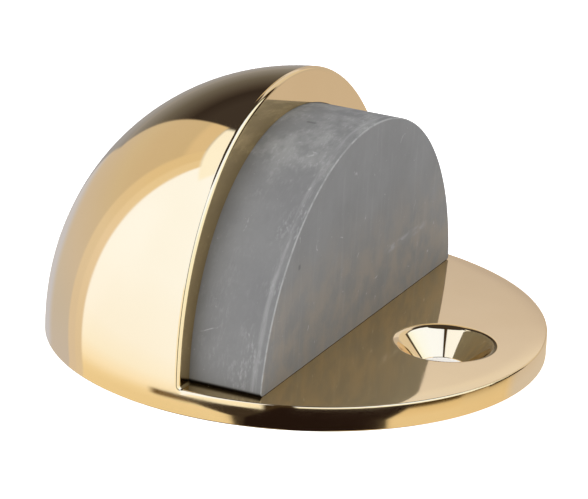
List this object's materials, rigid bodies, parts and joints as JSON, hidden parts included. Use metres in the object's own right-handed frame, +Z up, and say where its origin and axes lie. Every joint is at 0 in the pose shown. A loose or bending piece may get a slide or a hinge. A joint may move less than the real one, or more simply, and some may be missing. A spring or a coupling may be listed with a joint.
{
  "type": "door stop",
  "caption": "Half-dome floor door stop: polished brass base and hood holding a grey rubber buffer that yields when a door meets it, with a countersunk fixing hole in front.",
  "frame": {"origin": "centre of the round base on its underside, which is the floor", "axes": "+Z up; +X the way the buffer faces, towards the door and over the fixing hole; the part is mirrored about Y = 0"},
  "size_m": [0.045, 0.045, 0.0241],
  "materials": {
    "polished_brass": "polished to a mirror and lacquered",
    "grey_rubber": "moulded, matt, faintly dusty",
    "plate_steel": "plain rolled steel",
    "screw_steel": "bright zinc plated"
  },
  "bodies": {
    "base": {"body_casting": "polished_brass", "retaining_plate": "plate_steel", "retaining_screw_left": "screw_steel", "retaining_screw_right": "screw_steel"},
    "buffer": {"rubber_buffer": "grey_rubber"}
  },
  "joints": [
    {"name": "buffer_press", "type": "slide", "parent": "base", "child": "buffer", "axis": [-1, 0, 0], "range_m": [0, 0.0012], "stiffness_N_per_m": 60000}
  ]
}
